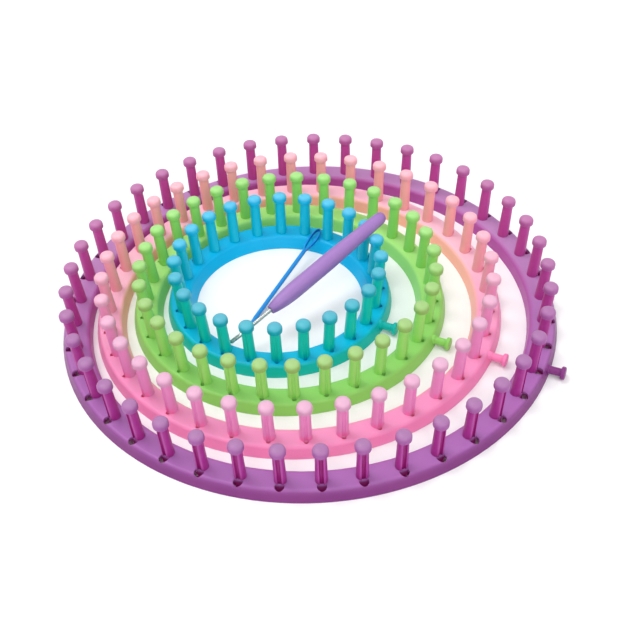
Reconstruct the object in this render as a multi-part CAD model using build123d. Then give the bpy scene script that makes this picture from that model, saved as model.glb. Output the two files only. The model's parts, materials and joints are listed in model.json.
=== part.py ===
from build123d import *
from math import asin, ceil, cos, radians, sin
import os

# Nested set of four round peg looms with a loom hook and a yarn needle.
# Millimetres. +Z is up, the table is z = 0, and the origin is the centre of the
# largest loom's underside. -Y is the front of the set.

# ---- Loom ring: a shallow moulded channel, open underneath ----------------------
RING_HEIGHT = 7.4
RING_FOOT_HALF_WIDTH = 8.75
RING_OUTER_SHOULDER = 6.9
RING_WALL = 1.9
RING_EDGE_RADIUS = 2.4
RING_INNER_EDGE_RADIUS = 0.8
RIB_THICKNESS = 1.3
UNDERSIDE_RECESS = 1.0  # how far ribs and bosses stop short of the table

# ---- Pegs: round posts with a domed head and a yarn groove down the outer side ---
PEG_LEAN = 5.5  # degrees outward from vertical
PEG_FOOT_RADIUS = 3.4
PEG_NECK_RADIUS = 3.05
PEG_NECK_HEIGHT = 21.8
PEG_HEAD_RADIUS = 4.3
PEG_HEAD_HEIGHT = 5.6
PEG_HEAD_FLARE = 1.3
PEG_HEAD_BAND = 1.5
PEG_GROOVE_WIDTH = 2.2
PEG_TENON_RADIUS = 2.3
PEG_TENON_LENGTH = 5.6
SOCKET_CLEARANCE = 0.05
BOSS_WALL = 1.5

# ---- Slot in the ring's top at the foot of each groove ---------------------------
GROOVE_SLOT_WALL = 0.5  # left standing between the socket and the slot

# ---- Anchor peg: a short flanged stub on the outer wall, for the yarn's end ------
ANCHOR_SHAFT_RADIUS = 2.3
ANCHOR_LENGTH = 9.2
ANCHOR_HEAD_RADIUS = 3.7
ANCHOR_HEAD_THICKNESS = 2.6
ANCHOR_HEAD_ROUNDING = 0.9
ANCHOR_HEIGHT = 3.9
ANCHOR_TENON_RADIUS = 1.4
ANCHOR_TENON_LENGTH = 4.4
ANCHOR_PAD_MARGIN = 0.5

# ---- Sizes of the set and how the looms nest -------------------------------------
LARGEST_PEG_CIRCLE = 137.1  # radius through the feet of the largest loom's pegs
PEGS_PER_NODE = 3

# ---- Loom hook: a plastic handle on a steel shaft with a bent tip ----------------
HANDLE_LENGTH = 93.0
HANDLE_RADIUS = 5.05
HANDLE_TAIL_RADIUS = 3.9
HANDLE_NOSE_RADIUS = 2.7
HANDLE_NOSE_LENGTH = 22.0
HANDLE_TAIL_LENGTH = 5.0
HANDLE_PARALLEL_LENGTH = 26.0
HOOK_SHAFT_RADIUS = 1.2
HOOK_SHAFT_LENGTH = 23.0  # from the bend to the handle
HOOK_SHAFT_SEAT = 16.0  # inside the handle
HOOK_TIP_LENGTH = 8.0
HOOK_TIP_HEADING = 13.0  # degrees in plan, from the point back towards the bend
HOOK_TIP_RISE = 33.0  # degrees above the table
HOOK_BEND_RADIUS = 6.0
HOOK_STOP_PEG = 12  # the point lies against the inner side of this blue peg
HOOK_REST_PEG = 21  # the handle rests between this peg's head and the next one's
HEAD_REST_RADIUS = 4.66  # a head's effective radius where the handle rolls onto it
REST_GAP = 0.3

# ---- Yarn needle: one moulding with a long eye -----------------------------------
NEEDLE_RADIUS = 1.3
NEEDLE_POINT_RADIUS = 0.6
NEEDLE_POINT_LENGTH = 10.0
NEEDLE_LENGTH = 93.5
NEEDLE_EYE_LENGTH = 23.0
NEEDLE_EYE_HALF_WIDTH = 2.8
NEEDLE_EYE_HALF_HEIGHT = 1.0
NEEDLE_EYE_WALL = 1.1
NEEDLE_EYE_ROUNDING = 0.3
NEEDLE_REST_FROM_EYE = 7.5  # where it crosses the blue ring, back from the eye's end
NEEDLE_REST_BEARING = 65.0  # degrees about the blue loom's centre
NEEDLE_HEADING = 60.5  # degrees in plan, from the point towards the eye


class Groove:
    """A peg's yarn groove and the D-shaped slot in the ring at its foot."""

    def __init__(self, depth, slot_radius, slot_reach, slot_depth):
        self.depth = depth
        self.slot_radius = slot_radius
        self.slot_reach = slot_reach  # outward from the face of the peg's foot
        self.slot_depth = slot_depth


DEEP_GROOVE = Groove(1.5, 2.6, 3.6, 4.6)  # the largest loom
SHALLOW_GROOVE = Groove(0.7, 1.3, 1.3, 3.0)  # the three smaller looms


class Loom:
    """One loom: its colour name, pegs, peg circle, place in the nest and angles."""

    def __init__(self, name, pegs, circle, shoulder, centre, first_peg, anchor, groove):
        self.name = name
        self.pegs = pegs
        self.circle = circle
        self.shoulder = shoulder  # how far the flat top reaches inward of the pegs
        self.centre = centre
        self.first_peg = first_peg
        self.anchor = anchor
        self.groove = groove

    def place(self):
        return Pos(self.centre.X, self.centre.Y, 0)

    def peg_angle(self, index):
        return self.first_peg + 360.0 * index / self.pegs

    def at(self, radius, angle, height):
        """A point at a radius and angle about this loom's centre."""
        x = self.centre.X + radius * cos(radians(angle))
        y = self.centre.Y + radius * sin(radians(angle))
        return Vector(x, y, height)

    def head_centre(self, index):
        """The middle of a peg's head, which leans out from the peg circle."""
        along = PEG_NECK_HEIGHT + PEG_HEAD_FLARE + PEG_HEAD_BAND / 2
        radius = self.circle + along * sin(radians(PEG_LEAN))
        height = RING_HEIGHT + along * cos(radians(PEG_LEAN))
        return self.at(radius, self.peg_angle(index), height)


def nested(name, pegs, step, gap, direction, shoulder, first_peg, anchor, around):
    """A loom inside another: it lies off centre, one gap short of touching it."""
    circle = around.circle - step
    offset = step - 2 * RING_FOOT_HALF_WIDTH - gap
    shift = Vector(offset, 0, 0).rotate(Axis.Z, direction)
    centre = around.centre + shift
    return Loom(name, pegs, circle, shoulder, centre, first_peg, anchor, SHALLOW_GROOVE)


PURPLE = Loom("purple", 41, LARGEST_PEG_CIRCLE, 7.2, Vector(0, 0, 0), 86.7, -24.7, DEEP_GROOVE)
PINK = nested("pink", 36, 25.6, 0.6, 143.5, 6.4, 80.8, -26.0, PURPLE)
GREEN = nested("green", 31, 26.9, 2.1, 139.0, 5.8, 73.5, -26.7, PINK)
BLUE = nested("blue", 24, 25.9, 1.3, 144.0, 5.0, 58.1, -27.5, GREEN)
LOOMS = (PURPLE, PINK, GREEN, BLUE)


def section_sketch(loom, inset, top):
    """The ring's trapezoid section, shrunk by inset, on the XZ plane."""
    foot = RING_FOOT_HALF_WIDTH - inset
    outline = Polyline(
        (loom.circle - foot, 0),
        (loom.circle - loom.shoulder + inset, top),
        (loom.circle + RING_OUTER_SHOULDER - inset, top),
        (loom.circle + foot, 0),
        close=True,
    )
    return make_face(outline)


def rounded_top(face, top, radius):
    corners = [v for v in face.vertices() if abs(v.Y - top) < 0.01]
    return fillet(corners, radius)


def ring_shell(loom):
    outer = rounded_top(section_sketch(loom, 0, RING_HEIGHT), RING_HEIGHT, RING_EDGE_RADIUS)
    roof = RING_HEIGHT - RING_WALL
    inner = rounded_top(section_sketch(loom, RING_WALL, roof), roof, RING_INNER_EDGE_RADIUS)
    return revolve(Plane.XZ * (outer - inner), Axis.Z), revolve(Plane.XZ * outer, Axis.Z)


def peg_frame(loom, angle):
    """Where a peg stands: on the ring's top, leaning outward at its own angle."""
    stand = Rot(0, 0, angle) * Pos(loom.circle, 0, RING_HEIGHT)
    return stand * Rot(0, PEG_LEAN, 0)


def peg_socket():
    radius = PEG_TENON_RADIUS + SOCKET_CLEARANCE
    depth = PEG_TENON_LENGTH + SOCKET_CLEARANCE
    return Pos(0, 0, 1) * Cylinder(radius, depth + 1, align=(Align.CENTER, Align.CENTER, Align.MAX))


def socket_boss():
    radius = PEG_TENON_RADIUS + BOSS_WALL
    length = RING_HEIGHT + 1
    return Cylinder(radius, length, align=(Align.CENTER, Align.CENTER, Align.MAX))


def groove_slot(groove):
    """The D-shaped slot beside a peg, its flat side towards the socket."""
    near = PEG_TENON_RADIUS + GROOVE_SLOT_WALL
    radius = groove.slot_radius
    far = PEG_FOOT_RADIUS + groove.slot_reach
    round_end = Pos(far - radius, 0) * Circle(radius)
    throat_length = far - radius - near
    throat = Pos(near + throat_length / 2, 0) * Rectangle(throat_length, 2 * radius)
    inside = Pos(near + far, 0) * Rectangle(2 * far, 4 * radius)
    outline = (round_end + throat) & inside
    return Pos(0, 0, -groove.slot_depth) * extrude(outline, groove.slot_depth + 1)


def anchor_pad():
    """The flat round pad on the outer wall that the anchor peg's shoulder meets."""
    length = RING_FOOT_HALF_WIDTH - PEG_TENON_RADIUS
    pad = Cylinder(
        ANCHOR_SHAFT_RADIUS + ANCHOR_PAD_MARGIN,
        length,
        rotation=(0, 90, 0),
        align=(Align.CENTER, Align.CENTER, Align.MAX),
    )
    return Pos(RING_FOOT_HALF_WIDTH, 0, ANCHOR_HEIGHT) * pad


def anchor_socket():
    bore = Cylinder(
        ANCHOR_TENON_RADIUS + SOCKET_CLEARANCE,
        ANCHOR_TENON_LENGTH + SOCKET_CLEARANCE,
        rotation=(0, 90, 0),
        align=(Align.CENTER, Align.CENTER, Align.MAX),
    )
    return Pos(RING_FOOT_HALF_WIDTH, 0, ANCHOR_HEIGHT) * bore


def loom_ring(loom):
    """One ring: shell, radial ribs between the pegs, peg bosses, sockets and slots."""
    shell, block = ring_shell(loom)
    rib_length = 2 * RING_FOOT_HALF_WIDTH - RING_WALL
    rib = Box(rib_length, RIB_THICKNESS, RING_HEIGHT, align=(Align.CENTER, Align.CENTER, Align.MIN))
    pitch = 360.0 / loom.pegs
    inner_works = []
    cuts = []
    for index in range(loom.pegs):
        angle = loom.peg_angle(index)
        inner_works.append(Rot(0, 0, angle + pitch / 2) * Pos(loom.circle, 0, 0) * rib)
        inner_works.append(peg_frame(loom, angle) * socket_boss())
        cuts.append(peg_frame(loom, angle) * peg_socket())
        cuts.append(Rot(0, 0, angle) * Pos(loom.circle, 0, RING_HEIGHT) * groove_slot(loom.groove))
    recess = Cylinder(
        2 * loom.circle,
        2 * UNDERSIDE_RECESS,
        align=(Align.CENTER, Align.CENTER, Align.CENTER),
    )
    works = (Part() + inner_works) & block
    works = works - recess
    anchor_at = Rot(0, 0, loom.anchor) * Pos(loom.circle, 0, 0)
    ring = shell + works + anchor_at * anchor_pad()
    ring = ring - cuts - anchor_at * anchor_socket()
    return loom.place() * ring


def peg(groove_depth):
    """One peg standing on z = 0 at the origin, leaning towards +X."""
    rim_height = PEG_NECK_HEIGHT + PEG_HEAD_FLARE
    band_top = rim_height + PEG_HEAD_BAND
    head_top = PEG_NECK_HEIGHT + PEG_HEAD_HEIGHT
    root = Vector(0, -2)
    foot = Vector(PEG_FOOT_RADIUS, -2)
    neck = Vector(PEG_NECK_RADIUS, PEG_NECK_HEIGHT)
    rim = Vector(PEG_HEAD_RADIUS, rim_height)
    shoulder = Vector(PEG_HEAD_RADIUS, band_top)
    crown = Vector(0, head_top)
    side = Polyline(root, foot, neck)
    flare = Spline(neck, rim, tangents=((0.35, 1), (0.1, 1)))
    band = Line(rim, shoulder)
    dome = Spline(shoulder, crown, tangents=((0, 1), (-1, 0)))
    axis = Line(crown, root)
    post = revolve(Plane.XZ * make_face(side + flare + band + dome + axis), Axis.Z)
    groove_floor = PEG_NECK_RADIUS - groove_depth
    groove = Box(
        2 * groove_depth + PEG_GROOVE_WIDTH,
        PEG_GROOVE_WIDTH,
        PEG_NECK_HEIGHT + 2,
        align=(Align.MIN, Align.CENTER, Align.MIN),
    )
    round_floor = Cylinder(
        PEG_GROOVE_WIDTH / 2,
        PEG_NECK_HEIGHT + 2,
        align=(Align.CENTER, Align.CENTER, Align.MIN),
    )
    groove_axis = groove_floor + PEG_GROOVE_WIDTH / 2
    post = post - Pos(groove_axis, 0, -2) * groove - Pos(groove_axis, 0, -2) * round_floor
    leaning = Rot(0, PEG_LEAN, 0) * post
    above = Box(
        8 * PEG_HEAD_RADIUS,
        8 * PEG_HEAD_RADIUS,
        2 * head_top,
        align=(Align.CENTER, Align.CENTER, Align.MIN),
    )
    tenon = Pos(0, 0, 1) * Cylinder(
        PEG_TENON_RADIUS,
        PEG_TENON_LENGTH + 1,
        align=(Align.CENTER, Align.CENTER, Align.MAX),
    )
    below = Pos(0, 0, -2 * head_top) * above
    stub = (Rot(0, PEG_LEAN, 0) * tenon) & below
    return (leaning & above) + stub


def peg_groups(loom, one_peg):
    """The loom's pegs, shared out evenly over nodes of about three neighbours."""
    nodes = ceil(loom.pegs / PEGS_PER_NODE)
    edges = [round(loom.pegs * i / nodes) for i in range(nodes + 1)]
    groups = {}
    for start, stop in zip(edges[:-1], edges[1:]):
        solids = []
        for index in range(start, stop):
            stand = Rot(0, 0, loom.peg_angle(index)) * Pos(loom.circle, 0, RING_HEIGHT)
            solids.append(loom.place() * stand * one_peg)
        node = f"{loom.name}_pegs_{start + 1:02d}_to_{stop:02d}"
        groups[node] = Compound(children=solids)
    return groups


def anchor_peg(loom):
    """The flanged stub, built along +Z and laid outward on the ring's pad."""
    shaft_length = ANCHOR_LENGTH - ANCHOR_HEAD_THICKNESS
    tenon = Cylinder(
        ANCHOR_TENON_RADIUS,
        ANCHOR_TENON_LENGTH,
        align=(Align.CENTER, Align.CENTER, Align.MAX),
    )
    shaft = Cylinder(
        ANCHOR_SHAFT_RADIUS,
        ANCHOR_LENGTH - ANCHOR_HEAD_THICKNESS / 2,
        align=(Align.CENTER, Align.CENTER, Align.MIN),
    )
    head = Cylinder(
        ANCHOR_HEAD_RADIUS,
        ANCHOR_HEAD_THICKNESS,
        align=(Align.CENTER, Align.CENTER, Align.MIN),
    )
    head = fillet(head.edges().filter_by(GeomType.CIRCLE), ANCHOR_HEAD_ROUNDING)
    stub = tenon + shaft + Pos(0, 0, shaft_length) * head
    out = Rot(0, 0, loom.anchor) * Pos(loom.circle + RING_FOOT_HALF_WIDTH, 0, ANCHOR_HEIGHT)
    return loom.place() * out * Rot(0, 90, 0) * stub


def handle_radius(along):
    """The handle's radius at a distance from its nose, on its straight stretches."""
    taper_start = HANDLE_NOSE_LENGTH + HANDLE_PARALLEL_LENGTH
    taper_length = HANDLE_LENGTH - HANDLE_TAIL_LENGTH - taper_start
    share = min(max((along - taper_start) / taper_length, 0), 1)
    return HANDLE_RADIUS + share * (HANDLE_TAIL_RADIUS - HANDLE_RADIUS)


def hook_points():
    """The hook's point, its bend, and the direction of its shaft and handle."""
    reach = PEG_FOOT_RADIUS + HOOK_SHAFT_RADIUS + REST_GAP
    low = RING_HEIGHT + HOOK_SHAFT_RADIUS + REST_GAP
    point = BLUE.at(BLUE.circle - reach, BLUE.peg_angle(HOOK_STOP_PEG), low)
    level = HOOK_TIP_LENGTH * cos(radians(HOOK_TIP_RISE))
    bend = point + Vector(
        level * cos(radians(HOOK_TIP_HEADING)),
        level * sin(radians(HOOK_TIP_HEADING)),
        HOOK_TIP_LENGTH * sin(radians(HOOK_TIP_RISE)),
    )
    head_a = BLUE.head_centre(HOOK_REST_PEG)
    head_b = BLUE.head_centre(HOOK_REST_PEG + 1)
    notch = (head_a + head_b) * 0.5
    lowest = 0.0
    highest = 4 * PEG_HEAD_RADIUS
    for _ in range(40):
        rise = (lowest + highest) / 2
        crossing = notch + Vector(0, 0, rise)
        direction = (crossing - bend).normalized()
        at_handle = (crossing - bend).length - HOOK_SHAFT_LENGTH
        wanted = HEAD_REST_RADIUS + handle_radius(at_handle) + REST_GAP
        nearest = min((head - bend).cross(direction).length for head in (head_a, head_b))
        if nearest < wanted:
            lowest = rise
        else:
            highest = rise
    return point, bend, direction


def hook_handle(nose, direction):
    tail_start = HANDLE_LENGTH - HANDLE_TAIL_LENGTH
    nose_corner = Vector(HANDLE_NOSE_RADIUS, 0)
    belly_start = Vector(HANDLE_RADIUS, HANDLE_NOSE_LENGTH)
    belly_end = Vector(HANDLE_RADIUS, HANDLE_NOSE_LENGTH + HANDLE_PARALLEL_LENGTH)
    tail = Vector(HANDLE_TAIL_RADIUS, tail_start)
    end = Vector(0, HANDLE_LENGTH)
    front = Line((0, 0), nose_corner)
    swell = Spline(nose_corner, belly_start, tangents=((0.28, 1), (0, 1)))
    parallel = Line(belly_start, belly_end)
    taper = Line(belly_end, tail)
    cap = Spline(tail, end, tangents=(tuple(tail - belly_end)[:2], (-1, 0)))
    axis = Line(end, (0, 0))
    body = revolve(Plane.XZ * make_face(front + swell + parallel + taper + cap + axis), Axis.Z)
    bore = Cylinder(
        HOOK_SHAFT_RADIUS + SOCKET_CLEARANCE,
        HOOK_SHAFT_SEAT + SOCKET_CLEARANCE,
        align=(Align.CENTER, Align.CENTER, Align.MIN),
    )
    return Plane(origin=nose, z_dir=direction).location * (body - bore)


def hook_shaft(point, bend, nose, direction):
    seat = nose + direction * HOOK_SHAFT_SEAT
    path = FilletPolyline(seat, bend, point, radius=HOOK_BEND_RADIUS)
    start = Plane(origin=seat, z_dir=bend - seat)
    wire = sweep(start * Circle(HOOK_SHAFT_RADIUS), path=path)
    point_end = wire.faces().filter_by(GeomType.PLANE).sort_by_distance(point)[0]
    return fillet(point_end.edges(), HOOK_SHAFT_RADIUS * 0.7)


def needle_frame():
    """The needle's plane: its point on the table, +Z along it towards the eye."""
    over = RING_HEIGHT + NEEDLE_RADIUS + REST_GAP
    rest = BLUE.at(BLUE.circle - BLUE.shoulder, NEEDLE_REST_BEARING, over)
    to_rest = NEEDLE_LENGTH - NEEDLE_REST_FROM_EYE
    low = NEEDLE_POINT_RADIUS + REST_GAP
    slope = asin((over - low) / to_rest)
    heading = Vector(cos(radians(NEEDLE_HEADING)), sin(radians(NEEDLE_HEADING)), 0)
    direction = heading * cos(slope) + Vector(0, 0, sin(slope))
    across = Vector(0, 0, 1).cross(heading)
    return Plane(origin=rest - direction * to_rest, x_dir=across, z_dir=direction)


def yarn_needle():
    """A round shank with a blunt point, opening into a long flat eye."""
    eye_start = NEEDLE_LENGTH - NEEDLE_EYE_LENGTH
    shank_end = eye_start + NEEDLE_EYE_LENGTH / 4
    profile = Polyline(
        (0, 0),
        (NEEDLE_POINT_RADIUS, 0),
        (NEEDLE_RADIUS, NEEDLE_POINT_LENGTH),
        (NEEDLE_RADIUS, eye_start),
        (NEEDLE_EYE_HALF_HEIGHT, shank_end),
        (0, shank_end),
        close=True,
    )
    shank = revolve(Plane.XZ * make_face(profile), Axis.Z)
    point_edge = shank.edges().filter_by(GeomType.CIRCLE).sort_by(Axis.Z)[0]
    shank = fillet(point_edge, NEEDLE_POINT_RADIUS * 0.8)
    middle = eye_start + NEEDLE_EYE_LENGTH * 0.55
    leaf = eye_outline(eye_start, middle, NEEDLE_LENGTH, NEEDLE_EYE_HALF_WIDTH)
    window = eye_outline(
        eye_start + 2.5 * NEEDLE_EYE_WALL,
        middle,
        NEEDLE_LENGTH - NEEDLE_EYE_WALL,
        NEEDLE_EYE_HALF_WIDTH - NEEDLE_EYE_WALL,
    )
    loop = extrude(Plane.XZ * leaf, NEEDLE_EYE_HALF_HEIGHT, both=True)
    face_edges = loop.edges().filter_by(lambda e: abs(e.center().Y) > NEEDLE_EYE_ROUNDING)
    loop = fillet(face_edges.filter_by(lambda e: e.length > 1), NEEDLE_EYE_ROUNDING)
    opening = extrude(Plane.XZ * window, 2 * NEEDLE_EYE_HALF_HEIGHT, both=True)
    frame = needle_frame()
    return frame.location * (shank + loop - opening)


def eye_outline(start, middle, end, half_width):
    """A leaf outline from start to end, widest at middle."""
    right = Spline((0.35, start), (half_width, middle), (0.9, end), tangents=((0.25, 1), (-0.45, 1)))
    left = Spline((-0.9, end), (-half_width, middle), (-0.35, start), tangents=((-0.45, -1), (0.25, -1)))
    top = ThreePointArc((0.9, end), (0, end + 0.35), (-0.9, end))
    bottom = Line((-0.35, start), (0.35, start))
    return make_face(right + top + left + bottom)


def build():
    nodes = {}
    for loom in LOOMS:
        nodes[f"{loom.name}_ring"] = loom_ring(loom)
        nodes[f"{loom.name}_anchor_peg"] = anchor_peg(loom)
        nodes.update(peg_groups(loom, peg(loom.groove.depth)))
    point, bend, direction = hook_points()
    nose = bend + direction * HOOK_SHAFT_LENGTH
    nodes["hook_handle"] = hook_handle(nose, direction)
    nodes["hook_shaft"] = hook_shaft(point, bend, nose, direction)
    nodes["yarn_needle"] = yarn_needle()
    return nodes


os.makedirs("parts", exist_ok=True)
for node_name, shape in build().items():
    export_step(shape, f"parts/{node_name}.step")
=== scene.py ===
import json
import logging
import math
from dataclasses import dataclass, field
from enum import Enum
from typing import Any, Optional, Union

import bmesh
import bpy
import numpy as np
from mathutils import Matrix, Vector


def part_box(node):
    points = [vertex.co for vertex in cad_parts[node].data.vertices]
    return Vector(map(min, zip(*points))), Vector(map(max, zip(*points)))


# Looks for a nested set of four round peg looms with a loom hook and a yarn needle.
# Metres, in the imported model's frame: +Z up, the table at z = 0, -Y at the front.

log = logging.getLogger("loom_set")

MM = 0.001
DARK = (0.0, 0.0, 0.0)
PLASTIC_IOR = 1.49
Colour = tuple[float, float, float]
Value = Union["Wire", float]


def tint(red: int, green: int, blue: int) -> Colour:
    """A display colour as the linear colour that a shader takes.

    Args:
        red: Red from 0 to 255.
        green: Green from 0 to 255.
        blue: Blue from 0 to 255.

    Returns:
        The linear colour.
    """
    parts = [value / 255 for value in (red, green, blue)]
    linear = [v / 12.92 if v <= 0.04045 else ((v + 0.055) / 1.055) ** 2.4 for v in parts]
    return linear[0], linear[1], linear[2]


class LoomColour(Enum):
    """The four looms, named as their nodes are."""

    PURPLE = "purple"
    PINK = "pink"
    GREEN = "green"
    BLUE = "blue"


class Moulding(Enum):
    """How deep a loom's yarn grooves and the slots at their feet are."""

    DEEP = "deep"
    SHALLOW = "shallow"


class Ease(Enum):
    """How a band of values is spread between its two ends."""

    STRAIGHT = "LINEAR"
    SOFT = "SMOOTHSTEP"


class Wire:
    """One output socket, so that sums on shader values read as plain expressions."""

    def __init__(self, sheet: "FinishSheet", socket: bpy.types.NodeSocket) -> None:
        """Keeps the socket and the sheet it belongs to."""
        self.sheet = sheet
        self.socket = socket

    def _math(self, operation: str, first: Value, second: Value = 0.0) -> "Wire":
        """Adds one Math node.

        Args:
            operation: The node's operation.
            first: Its first value.
            second: Its second value.

        Returns:
            The node's result.
        """
        return self.sheet.add("ShaderNodeMath", {"operation": operation}, {0: first, 1: second})

    def __add__(self, other: Value) -> "Wire":
        """self + other."""
        return self._math("ADD", self, other)

    def __radd__(self, other: Value) -> "Wire":
        """other + self."""
        return self._math("ADD", other, self)

    def __sub__(self, other: Value) -> "Wire":
        """self - other."""
        return self._math("SUBTRACT", self, other)

    def __rsub__(self, other: Value) -> "Wire":
        """other - self."""
        return self._math("SUBTRACT", other, self)

    def __mul__(self, other: Value) -> "Wire":
        """self * other."""
        return self._math("MULTIPLY", self, other)

    def __rmul__(self, other: Value) -> "Wire":
        """other * self."""
        return self._math("MULTIPLY", other, self)

    def __truediv__(self, other: Value) -> "Wire":
        """self / other."""
        return self._math("DIVIDE", self, other)

    def root(self) -> "Wire":
        """The square root."""
        return self._math("SQRT", self)

    def size(self) -> "Wire":
        """The value without its sign."""
        return self._math("ABSOLUTE", self)

    def nearest(self) -> "Wire":
        """The nearest whole number."""
        return self._math("ROUND", self)

    def sine(self) -> "Wire":
        """The sine of an angle in radians."""
        return self._math("SINE", self)

    def bearing_from(self, x: "Wire") -> "Wire":
        """The angle in radians of a point whose y is this value.

        Args:
            x: The point's x.

        Returns:
            The angle from the x axis.
        """
        return self._math("ARCTAN2", self, x)

    def band(self, low: float, high: float, ease: Ease = Ease.SOFT) -> "Wire":
        """Where the value stands between two ends.

        Args:
            low: The value that gives 0.
            high: The value that gives 1; it may be under low.
            ease: How the values between are spread.

        Returns:
            A value from 0 to 1.
        """
        flip = high < low
        ends = {1: min(low, high), 2: max(low, high), 3: float(flip), 4: float(not flip)}
        settings = {"interpolation_type": ease.value, "clamp": True}
        return self.sheet.add("ShaderNodeMapRange", settings, {0: self, **ends})


class FinishSheet:
    """The node tree of one material."""

    def __init__(self, name: str) -> None:
        """Starts a material with an empty node tree."""
        self.material = bpy.data.materials.new(name)
        self.material.use_nodes = True
        self.tree = self.material.node_tree
        self.tree.nodes.clear()

    def add(
        self,
        kind: str,
        settings: Optional[dict[str, Any]] = None,
        values: Optional[dict[Union[int, str], Any]] = None,
        output: Union[int, str] = 0,
    ) -> Wire:
        """Adds one node, its settings first and then its sockets.

        Args:
            kind: The node's type.
            settings: Attributes of the node.
            values: Values or wires for its inputs, by place or name.
            output: The output that is wanted.

        Returns:
            That output.
        """
        node = self.tree.nodes.new(kind)
        for key, value in (settings or {}).items():
            setattr(node, key, value)
        for key, value in (values or {}).items():
            if isinstance(value, Wire):
                self.tree.links.new(value.socket, node.inputs[key])
            else:
                node.inputs[key].default_value = value
        return Wire(self, node.outputs[output] if len(node.outputs) else None)

    def place(self) -> tuple[Wire, Wire, Wire, Wire]:
        """The point being shaded, in the rest pose.

        Returns:
            The point as a vector, and its x, y and z in metres.
        """
        point = self.add("ShaderNodeTexCoord", output="Object")
        parts = [self.add("ShaderNodeSeparateXYZ", None, {0: point}, n) for n in range(3)]
        return point, parts[0], parts[1], parts[2]

    def grain(self, point: Wire, per_metre: float, detail: float = 3.0) -> Wire:
        """Mottling.

        Args:
            point: Where it is sampled.
            per_metre: How many patches there are to a metre.
            detail: How many finer layers it has.

        Returns:
            A value around 0.5.
        """
        values = {"Vector": point, "Scale": per_metre, "Detail": detail, "Roughness": 0.55}
        return self.add("ShaderNodeTexNoise", None, values)

    def blend(self, share: Value, first: Any, second: Any) -> Wire:
        """Mixes two colours.

        Args:
            share: How much of the second shows.
            first: A colour or a wire.
            second: A colour or a wire.

        Returns:
            The mixed colour.
        """
        settings = {"data_type": "RGBA", "blend_type": "MIX"}
        ends = [c if isinstance(c, Wire) else (*c, 1.0) for c in (first, second)]
        return self.add("ShaderNodeMix", settings, {0: share, 6: ends[0], 7: ends[1]}, 2)

    def relief(self, height: Wire, depth: float, strength: float = 1.0) -> Wire:
        """Turns a height into a surface direction.

        Args:
            height: The height from 0 to 1.
            depth: How far 1 stands out, in metres.
            strength: How much of it shows.

        Returns:
            The normal.
        """
        values = {"Height": height, "Distance": depth, "Strength": strength}
        return self.add("ShaderNodeBump", None, values)

    def close(self, values: dict[str, Any]) -> bpy.types.Material:
        """Ends the tree with one Principled shader.

        Args:
            values: The shader's sockets.

        Returns:
            The finished material.
        """
        shader = self.add("ShaderNodeBsdfPrincipled", None, values)
        self.add("ShaderNodeOutputMaterial", None, {"Surface": shader})
        return self.material


@dataclass(frozen=True)
class LoomDyeAndPaintedLight:
    """The tones of one loom's plastic, in bright and in deep places: its own colour with painted light and
    shade laid in, as back and front copies, painted shade on the sides, slots and grooves, and painted
    highlights on the groove lips.
    """

    top: Colour
    top_front_painted_light: Colour
    inner_slope_painted_light: Colour
    outer_side_painted_shade: Colour
    slot: Colour
    shaft_back_painted_light: Colour
    shaft_front_painted_light: Colour
    groove: Colour
    lip: Colour
    head: Colour
    head_front_painted_light: Colour
    glow: Colour


# Per loom: top and head are the lit tones; the front and back copies paint how the light changes across the
# loom; the edge tones paint light and shade on the slopes and sides; slot paints shade in the slots and at
# the pegs' feet and is also the painted glow's colour; groove and lip paint shade in the grooves and
# highlights on their lips; glow is the subsurface radius.
DYES_AND_PAINTED_LIGHT = {
    LoomColour.PURPLE: LoomDyeAndPaintedLight(
        top=tint(182, 130, 184),
        top_front_painted_light=tint(163, 103, 170),
        inner_slope_painted_light=tint(166, 74, 156),
        outer_side_painted_shade=tint(114, 36, 110),
        slot=tint(104, 6, 72),
        shaft_back_painted_light=tint(180, 70, 148),
        shaft_front_painted_light=tint(152, 40, 128),
        groove=tint(146, 12, 108),
        lip=tint(172, 86, 162),
        head=tint(170, 86, 148),
        head_front_painted_light=tint(146, 82, 146),
        glow=(1.0, 0.25, 0.8),
    ),
    LoomColour.PINK: LoomDyeAndPaintedLight(
        top=tint(246, 192, 210),
        top_front_painted_light=tint(232, 143, 187),
        inner_slope_painted_light=tint(255, 176, 150),
        outer_side_painted_shade=tint(244, 132, 182),
        slot=tint(250, 50, 128),
        shaft_back_painted_light=tint(246, 168, 170),
        shaft_front_painted_light=tint(228, 140, 192),
        groove=tint(236, 134, 194),
        lip=tint(240, 156, 194),
        head=tint(238, 168, 182),
        head_front_painted_light=tint(208, 156, 186),
        glow=(1.0, 0.4, 0.5),
    ),
    LoomColour.GREEN: LoomDyeAndPaintedLight(
        top=tint(168, 222, 128),
        top_front_painted_light=tint(138, 200, 102),
        inner_slope_painted_light=tint(142, 212, 122),
        outer_side_painted_shade=tint(138, 206, 96),
        slot=tint(118, 204, 80),
        shaft_back_painted_light=tint(142, 214, 102),
        shaft_front_painted_light=tint(152, 222, 110),
        groove=tint(140, 222, 100),
        lip=tint(160, 218, 116),
        head=tint(142, 206, 104),
        head_front_painted_light=tint(140, 182, 96),
        glow=(0.5, 1.0, 0.3),
    ),
    LoomColour.BLUE: LoomDyeAndPaintedLight(
        top=tint(0, 172, 220),
        top_front_painted_light=tint(0, 178, 214),
        inner_slope_painted_light=tint(0, 170, 220),
        outer_side_painted_shade=tint(0, 180, 166),
        slot=tint(0, 138, 186),
        shaft_back_painted_light=tint(0, 176, 206),
        shaft_front_painted_light=tint(0, 194, 186),
        groove=tint(0, 192, 184),
        lip=tint(0, 196, 184),
        head=tint(0, 172, 214),
        head_front_painted_light=tint(0, 158, 182),
        glow=(0.1, 0.8, 1.0),
    ),
}


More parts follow.
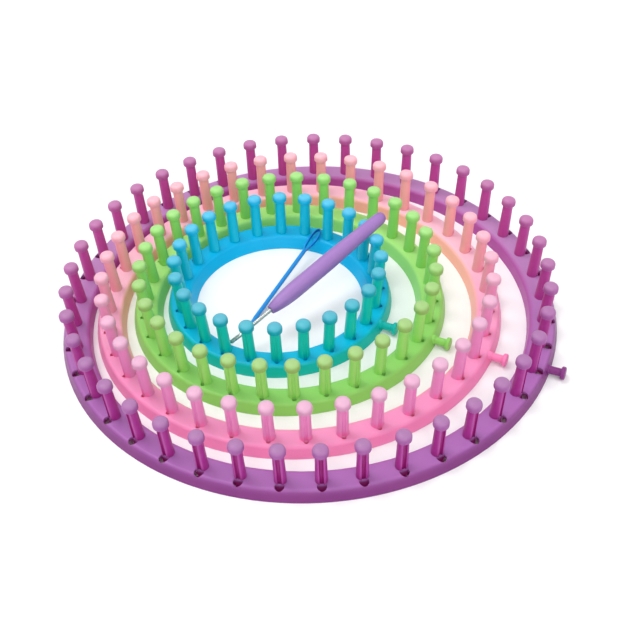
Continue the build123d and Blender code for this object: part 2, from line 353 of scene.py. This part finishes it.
def slot_of(node: str) -> str:
    """The record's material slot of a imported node.

    Args:
        node: The node's name.

    Returns:
        The slot's name.
    """
    return next(p["material_slot"] for p in FRAME["record"]["subparts"] if p["node"] == node)


def dress(node: str, material: bpy.types.Material) -> None:
    """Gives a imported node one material.

    Args:
        node: The node's name.
        material: What it is finished with.
    """
    mesh = FRAME["nodes"][node].data
    if not mesh.materials:
        mesh.materials.append(material)
    for place in range(len(mesh.materials)):
        mesh.materials[place] = material
    log.info("%s: %s on slot %s", node, material.name, slot_of(node))


@dataclass
class PegLoom:
    """One round loom: a moulded ring, its pegs and its anchor peg."""

    colour: LoomColour
    pegs: int
    first_peg: float
    moulding: Moulding = Moulding.SHALLOW
    foot_half_width: float = 8.75 * MM
    height: float = 7.4 * MM
    lean: float = 5.5
    neck_height: float = 21.8 * MM
    head_height: float = 5.6 * MM
    groove_width: float = 2.2 * MM
    edge_radius: float = 2.4 * MM
    outer_shoulder: float = 6.9 * MM
    wall: float = 1.9 * MM
    parting_line: float = 1.7 * MM
    gate_radius: float = 1.35 * MM
    centre: Vector = field(init=False)
    circle: float = field(init=False)

    def __post_init__(self) -> None:
        """Reads the loom's place and peg circle from its packed ring."""
        low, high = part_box(f"{self.colour.value}_ring")
        self.centre = (low + high) / 2
        self.circle = (high.x - low.x) / 2 - self.foot_half_width

    @property
    def slot_end(self) -> float:
        """How far outside the peg circle the slots reach."""
        return 7.05 * MM if self.moulding is Moulding.DEEP else 4.75 * MM

    @property
    def groove_shade_and_highlight(self) -> float:
        """How strongly the painted shade in the grooves and the painted highlight on their lips show."""
        return 0.8 if self.moulding is Moulding.DEEP else 0.45

    @property
    def painted_glow_strength(self) -> float:
        """How strongly the hollow and the slots glow with painted light, an emission that imitates light
        through the wall.
        """
        return 0.42 if self.moulding is Moulding.DEEP else 0.12

    @property
    def dye_and_painted_light(self) -> LoomDyeAndPaintedLight:
        """The tones of this loom's plastic, with painted light and shade laid into them."""
        return DYES_AND_PAINTED_LIGHT[self.colour]

    def polar(self, x: Wire, y: Wire) -> tuple[Wire, Wire]:
        """A point about the loom's own centre.

        Args:
            x: The point's x.
            y: The point's y.

        Returns:
            How far it is outside the peg circle, and its bearing in radians.
        """
        dx = x - self.centre.x
        dy = y - self.centre.y
        return (dx * dx + dy * dy).root() - self.circle, dy.bearing_from(dx)

    def frontness(self, y: Wire) -> Wire:
        """0 at the back of the loom and 1 at its front, for tones painted lighter or darker by how the light
        falls across the loom.

        Args:
            y: The point's y.

        Returns:
            A value from 0 to 1.
        """
        return (y - self.centre.y).band(0.45 * self.circle, -0.55 * self.circle)

    def plastic(
        self, sheet: FinishSheet, colour: Wire, normal: Wire, grain: Wire, through: Wire
    ) -> bpy.types.Material:
        """The shared body of the moulded plastic.

        Args:
            sheet: The material being made.
            colour: Its colour.
            normal: Its relief.
            grain: Mottling that breaks up its gloss.
            through: A faint painted glow, an emission that imitates light coming through the wall.

        Returns:
            The finished material.
        """
        return sheet.close({
            "Base Color": colour,
            "Roughness": 0.3 + 0.16 * grain,
            "Normal": normal,
            "IOR": PLASTIC_IOR,
            "Subsurface Weight": 0.22,
            "Subsurface Radius": self.dye_and_painted_light.glow,
            "Subsurface Scale": 2.6 * MM,
            "Specular IOR Level": 0.24,
            "Emission Color": through,
            "Emission Strength": 1.0,
        })

    def ring_finish_with_painted_light(self) -> bpy.types.Material:
        """The ring's plastic: paler on the flat, with painted light and shade down its sides, painted shade
        in the slots, tones painted lighter or darker from back to front and a painted glow in the hollow and
        the slots.

        Returns:
            The finished material.
        """
        sheet = FinishSheet(f"{self.colour.value}_ring_plastic")
        point, x, y, z = sheet.place()
        out, _ = self.polar(x, y)
        front = self.frontness(y)
        # Painted light: the flat's tone changes from back to front as the light falls on it.
        flat = sheet.blend(front, self.dye_and_painted_light.top, self.dye_and_painted_light.top_front_painted_light)
        # Painted light and shade on the inner slope and painted shade down the outer side.
        inside = out.band(-4.2 * MM, -7.6 * MM)
        body = sheet.blend(inside * (1 - front * 0.35) * 0.85, flat, self.dye_and_painted_light.inner_slope_painted_light)
        outside = out.band(5.4 * MM, 8.0 * MM)
        body = sheet.blend(outside * 0.9, body, self.dye_and_painted_light.outer_side_painted_shade)
        # Painted shade in the slots: the slot tone where the surface sinks below the ring's rounded skin.
        bend_start = self.outer_shoulder - self.edge_radius
        bend = out.band(bend_start, self.outer_shoulder + 0.3 * MM, Ease.STRAIGHT)
        skin = self.height - bend * bend * self.edge_radius
        sunk = (skin - z).band(0.35 * MM, 2.6 * MM)
        inlet = out.band(2.2 * MM, 3.0 * MM) * out.band(self.slot_end, self.slot_end - 0.2 * MM)
        body = sheet.blend(sunk * inlet, body, self.dye_and_painted_light.slot)
        cloud = sheet.grain(point, 38.0, 2.0)
        body = sheet.blend(cloud.band(0.3, 0.8) * 0.12, body, self.dye_and_painted_light.head)
        fine = sheet.grain(point, 1500.0, 2.0)
        seam = (z - self.parting_line).size().band(0.22 * MM, 0.0)
        height = fine * 0.35 + cloud * 0.5 + seam * outside * 1.6
        # Painted glow: emission in the hollow underside and the slots, imitating light through the wall.
        roof = self.height - self.wall
        under_roof = z.band(roof, roof - 0.3 * MM)
        past_inner_wall = out.band(-4.6 * MM, -4.2 * MM)
        inside_outer_wall = out.band(6.6 * MM, 6.3 * MM)
        hollow = under_roof * past_inner_wall * inside_outer_wall
        glow = (hollow + sunk * inlet * 0.6).band(0.0, 1.0) * self.painted_glow_strength
        through = sheet.blend(glow, DARK, self.dye_and_painted_light.slot)
        return self.plastic(sheet, body, sheet.relief(height, 0.05 * MM, 0.5), fine, through)

    def peg_finish_with_painted_light(self) -> bpy.types.Material:
        """The pegs' plastic: a deep shaft with a groove down it, under a paler head, with painted shade in
        the groove and at the foot, painted highlights on the groove's lips and the head's crown, a painted
        glow at the foot and tones painted lighter or darker from back to front.

        Returns:
            The finished material.
        """
        sheet = FinishSheet(f"{self.colour.value}_peg_plastic")
        point, x, y, z = sheet.place()
        out, bearing = self.polar(x, y)
        front = self.frontness(y)
        step = math.tau / self.pegs
        turn = (bearing - math.radians(self.first_peg)) / step
        aside = ((turn - turn.nearest()) * step).sine() * (out + self.circle)
        ahead = out - (z - self.height) * math.tan(math.radians(self.lean))
        off_axis = (aside * aside + ahead * ahead).root()
        # Painted light: the shaft's tone changes from back to front.
        shaft = sheet.blend(front, self.dye_and_painted_light.shaft_back_painted_light, self.dye_and_painted_light.shaft_front_painted_light)
        outward = ahead.band(0.6 * MM, 2.0 * MM)
        half = self.groove_width / 2
        # Painted shade in the groove and a painted highlight on its lips, on the outer face.
        trough = aside.size().band(half + 0.15 * MM, half - 0.1 * MM) * outward
        shaft = sheet.blend(trough * self.groove_shade_and_highlight, shaft, self.dye_and_painted_light.groove)
        lip = aside.size().band(half, half + 0.35 * MM) * aside.size().band(half + 1.3 * MM, half + 0.5 * MM)
        shaft = sheet.blend(lip * outward * (0.7 * self.groove_shade_and_highlight), shaft, self.dye_and_painted_light.lip)
        # Painted shade at the peg's foot on its outer face.
        foot = z.band(self.height + 5.5 * MM, self.height)
        shaft = sheet.blend(foot * outward * 0.35, shaft, self.dye_and_painted_light.slot)
        # Painted light: the head's tone changes from back to front.
        head_tone = sheet.blend(front, self.dye_and_painted_light.head, self.dye_and_painted_light.head_front_painted_light)
        head_start = self.height + self.neck_height
        cap = z.band(head_start - 1.2 * MM, head_start + 1.4 * MM)
        body = sheet.blend(cap, shaft, head_tone)
        # Painted highlight: the head's crown is whitened a little.
        crown = z.band(head_start + 2.2 * MM, head_start + self.head_height)
        body = sheet.blend(crown * 0.1, body, (1.0, 1.0, 1.0))
        cloud = sheet.grain(point, 140.0, 2.0)
        body = sheet.blend(cloud.band(0.35, 0.8) * 0.14, body, self.dye_and_painted_light.lip)
        fine = sheet.grain(point, 1800.0, 2.0)
        gate = (off_axis - self.gate_radius).size().band(0.4 * MM, 0.0) * crown
        seam = aside.size().band(0.14 * MM, 0.0) * ahead.band(-1.5 * MM, -2.4 * MM) * (1 - cap)
        height = fine * 0.3 + cloud * 0.4 + gate * 1.5 + seam * 1.2
        # Painted glow at the peg's foot, an emission imitating light through the wall.
        through = sheet.blend(foot * outward * (0.28 * self.painted_glow_strength), DARK, self.dye_and_painted_light.slot)
        return self.plastic(sheet, body, sheet.relief(height, 0.06 * MM, 0.6), fine, through)

    def build(self) -> None:
        """Dresses the ring, the anchor peg and every group of pegs."""
        name = self.colour.value
        ring = self.ring_finish_with_painted_light()
        pegs = self.peg_finish_with_painted_light()
        dress(f"{name}_ring", ring)
        dress(f"{name}_anchor_peg", ring)
        for node in FRAME["nodes"]:
            if node.startswith(f"{name}_pegs_"):
                dress(node, pegs)


@dataclass
class LoomHook:
    """The plastic handle and the bent steel shaft."""

    skin: Colour = tint(150, 110, 178)
    shade: Colour = tint(104, 62, 142)
    steel: Colour = (0.62, 0.64, 0.61)

    @staticmethod
    def run_of(node: str) -> tuple[Vector, Vector]:
        """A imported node's middle and its long direction.

        Args:
            node: The node's name.

        Returns:
            The middle and a unit vector.
        """
        mesh = FRAME["nodes"][node].data
        places = np.array([v.co for v in mesh.vertices], float)
        middle = places.mean(0)
        axis = np.linalg.svd(places - middle, full_matrices=False)[2][0]
        return Vector(middle), Vector(axis if axis[1] > 0 else -axis)

    def along(self, sheet: FinishSheet, point: Wire, node: str) -> Wire:
        """How far a point is along a node's length.

        Args:
            sheet: The material being made.
            point: The point as a vector.
            node: The node's name.

        Returns:
            The distance from the node's middle, in metres.
        """
        middle, axis = self.run_of(node)
        from_middle = sheet.add("ShaderNodeVectorMath", {"operation": "SUBTRACT"}, {0: point, 1: middle})
        dot = {0: from_middle, 1: axis}
        return sheet.add("ShaderNodeVectorMath", {"operation": "DOT_PRODUCT"}, dot, "Value")

    def handle_finish_with_painted_shade(self) -> bpy.types.Material:
        """Satin plastic, faintly mottled, with painted shade underneath and at the nose and the tail.

        Returns:
            The finished material.
        """
        sheet = FinishSheet("handle_plastic")
        point, _, _, z = sheet.place()
        along = self.along(sheet, point, "hook_handle")
        level = z - along * self.run_of("hook_handle")[1].z - self.run_of("hook_handle")[0].z
        # Painted shade on the underside of the handle.
        body = sheet.blend(level.band(0.6 * MM, -4.6 * MM) * 0.75, self.skin, self.shade)
        cloud = sheet.grain(point, 160.0, 3.0)
        body = sheet.blend(cloud.band(0.3, 0.8) * 0.22, body, tint(168, 130, 190))
        # Painted shade towards both ends of the handle.
        ends = along.size().band(40.0 * MM, 46.0 * MM)
        body = sheet.blend(ends * 0.3, body, self.shade)
        fine = sheet.grain(point, 1600.0, 3.0)
        values = {
            "Base Color": body,
            "Roughness": 0.36 + 0.18 * fine,
            "Normal": sheet.relief(fine * 0.6 + cloud * 0.5, 0.05 * MM, 0.6),
            "IOR": PLASTIC_IOR,
            "Subsurface Weight": 0.12,
            "Subsurface Radius": (1.0, 0.5, 1.0),
            "Subsurface Scale": 1.6 * MM,
        }
        return sheet.close(values)

    def shaft_finish(self) -> bpy.types.Material:
        """Drawn steel wire: fine streaks along it and slightly uneven polish.

        Returns:
            The finished material.
        """
        sheet = FinishSheet("drawn_steel")
        point, _, _, _ = sheet.place()
        _, axis = self.run_of("hook_shaft")
        side = axis.cross(Vector((0.0, 0.0, 1.0))).normalized()
        lengths = {}
        for place, (way, per_metre) in enumerate(((axis, 25.0), (side, 2600.0), (side.cross(axis), 2600.0))):
            dot = {0: point, 1: way * per_metre}
            lengths[place] = sheet.add("ShaderNodeVectorMath", {"operation": "DOT_PRODUCT"}, dot, "Value")
        drawn = sheet.add("ShaderNodeCombineXYZ", None, lengths)
        streaks = sheet.grain(drawn, 1.0, 1.0)
        worn = sheet.grain(point, 420.0, 2.0)
        body = sheet.blend(streaks.band(0.3, 0.7) * 0.5, self.steel, (0.34, 0.36, 0.34))
        values = {
            "Base Color": body,
            "Metallic": 1.0,
            "Roughness": 0.16 + 0.2 * worn,
            "Normal": sheet.relief(streaks, 0.02 * MM, 0.5),
        }
        return sheet.close(values)

    def build(self) -> None:
        """Dresses the handle and the shaft."""
        dress("hook_handle", self.handle_finish_with_painted_shade())
        dress("hook_shaft", self.shaft_finish())


@dataclass
class YarnNeedle:
    """The large-eyed plastic needle."""

    skin: Colour = tint(0, 136, 214)
    # The deep tone is painted shade for the sides that face down.
    deep: Colour = tint(0, 92, 176)

    def finish(self) -> bpy.types.Material:
        """Glossy plastic, with painted shade down its sides where they turn away from above.

        Returns:
            The finished material.
        """
        sheet = FinishSheet("needle_plastic")
        point, _, _, _ = sheet.place()
        up = sheet.add("ShaderNodeNewGeometry", output="True Normal")
        lift = sheet.add("ShaderNodeSeparateXYZ", None, {0: up}, 2)
        # Painted shade on the sides, by how far the surface turns from facing up.
        body = sheet.blend(lift.band(0.75, -0.1), self.skin, self.deep)
        cloud = sheet.grain(point, 260.0, 2.0)
        body = sheet.blend(cloud.band(0.35, 0.8) * 0.2, body, tint(30, 158, 226))
        fine = sheet.grain(point, 1900.0, 2.0)
        values = {
            "Base Color": body,
            "Roughness": 0.24 + 0.14 * fine,
            "Normal": sheet.relief(fine * 0.4 + cloud * 0.4, 0.04 * MM, 0.5),
            "IOR": PLASTIC_IOR,
            "Subsurface Weight": 0.1,
            "Subsurface Radius": (0.1, 0.6, 1.0),
            "Subsurface Scale": 1.2 * MM,
        }
        return sheet.close(values)

    def build(self) -> None:
        """Dresses the needle."""
        dress("yarn_needle", self.finish())


@dataclass(frozen=True)
class Sun:
    """One distant light: its name, the way it travels, its strength and its width in degrees."""

    name: str
    towards: tuple[float, float, float]
    strength: float
    spread: float


@dataclass
class Studio:
    """The pale table, soft lights and camera."""

    key: Sun = Sun("key", (0.4, -0.22, -1.0), 1.25, 30.0)
    fill: Sun = Sun("fill", (-0.1, 0.95, -0.85), 1.35, 60.0)
    surround_strength: float = 0.74
    table_half_side: float = 40.0
    camera_place: Vector = Vector((0.000638, -0.546467, 0.482293))
    back: Vector = Vector((0.0, -0.75151, 0.65972))
    roll: float = math.radians(-2.581)
    lens: float = 70.83
    sensor: float = 36.0

    def table(self) -> bpy.types.Object:
        """A wide flat sheet with a faint paper tooth.

        Returns:
            The table top.
        """
        form = bmesh.new()
        bmesh.ops.create_grid(form, x_segments=12, y_segments=12, size=self.table_half_side)
        mesh = bpy.data.meshes.new("table_top")
        form.to_mesh(mesh)
        form.free()
        top = bpy.data.objects.new("table_top", mesh)
        bpy.context.scene.collection.objects.link(top)
        sheet = FinishSheet("table_white")
        point, _, _, _ = sheet.place()
        tooth = sheet.grain(point, 900.0, 2.0)
        body = sheet.blend(tooth, (0.9, 0.9, 0.9), (0.93, 0.93, 0.93))
        normal = sheet.relief(tooth, 0.02 * MM, 0.2)
        paper = {
            "Base Color": body,
            "Roughness": 0.8 + 0.1 * tooth,
            "Normal": normal,
            "Specular IOR Level": 0.1,
        }
        mesh.materials.append(sheet.close(paper))
        return top

    def shine(self, sun: Sun) -> None:
        """Adds one distant light; a wider one has softer shadows.

        Args:
            sun: The light.
        """
        data = bpy.data.lights.new(sun.name, "SUN")
        data.energy = sun.strength
        data.angle = math.radians(sun.spread)
        lamp = bpy.data.objects.new(sun.name, data)
        lamp.rotation_mode = "QUATERNION"
        lamp.rotation_quaternion = Vector(sun.towards).to_track_quat("-Z", "Y")
        bpy.context.scene.collection.objects.link(lamp)

    def lights(self) -> None:
        """A key from the back left, a broader fill from the front and a white surround."""
        self.shine(self.key)
        self.shine(self.fill)
        world = bpy.data.worlds.new("surround")
        world.use_nodes = True
        background = world.node_tree.nodes["Background"]
        background.inputs["Color"].default_value = (1.0, 1.0, 1.0, 1.0)
        background.inputs["Strength"].default_value = self.surround_strength
        bpy.context.scene.world = world
        bpy.context.scene.view_settings.view_transform = "Standard"

    def camera(self) -> None:
        """A long lens looking down at the set, rolled a little."""
        level = Vector((1.0, 0.0, 0.0))
        up = self.back.cross(level)
        right = math.cos(self.roll) * level + math.sin(self.roll) * up
        above = -math.sin(self.roll) * level + math.cos(self.roll) * up
        data = bpy.data.cameras.new("camera")
        data.lens = self.lens
        data.sensor_width = self.sensor
        data.clip_start = 0.01
        data.clip_end = 50.0
        camera = bpy.data.objects.new("camera", data)
        turn = Matrix((right, above, self.back)).transposed().to_4x4()
        camera.matrix_world = Matrix.Translation(self.camera_place) @ turn
        bpy.context.scene.collection.objects.link(camera)
        bpy.context.scene.camera = camera

    def build(self) -> None:
        """Sets up everything that isn't part of the set."""
        self.table()
        self.lights()
        self.camera()


with open("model.json") as file:
    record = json.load(file)
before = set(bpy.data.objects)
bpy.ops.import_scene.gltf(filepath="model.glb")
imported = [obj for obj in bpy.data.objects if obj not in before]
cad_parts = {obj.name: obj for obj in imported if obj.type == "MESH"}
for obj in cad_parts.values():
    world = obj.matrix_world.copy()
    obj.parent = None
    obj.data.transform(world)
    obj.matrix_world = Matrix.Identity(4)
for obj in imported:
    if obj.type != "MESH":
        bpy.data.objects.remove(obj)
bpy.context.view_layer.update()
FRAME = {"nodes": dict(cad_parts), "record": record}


def main() -> None:
    """Builds the studio and dresses the looms, the hook and the needle in order."""
    logging.basicConfig(level=logging.INFO, format="%(name)s: %(message)s")
    builders = [
        Studio(),
        PegLoom(LoomColour.PURPLE, pegs=41, first_peg=86.7, moulding=Moulding.DEEP),
        PegLoom(LoomColour.PINK, pegs=36, first_peg=80.8),
        PegLoom(LoomColour.GREEN, pegs=31, first_peg=73.5),
        PegLoom(LoomColour.BLUE, pegs=24, first_peg=58.1),
        LoomHook(),
        YarnNeedle(),
    ]
    for builder in builders:
        log.info("building %s", type(builder).__name__)
        builder.build()


if __name__ == "__main__":
    main()
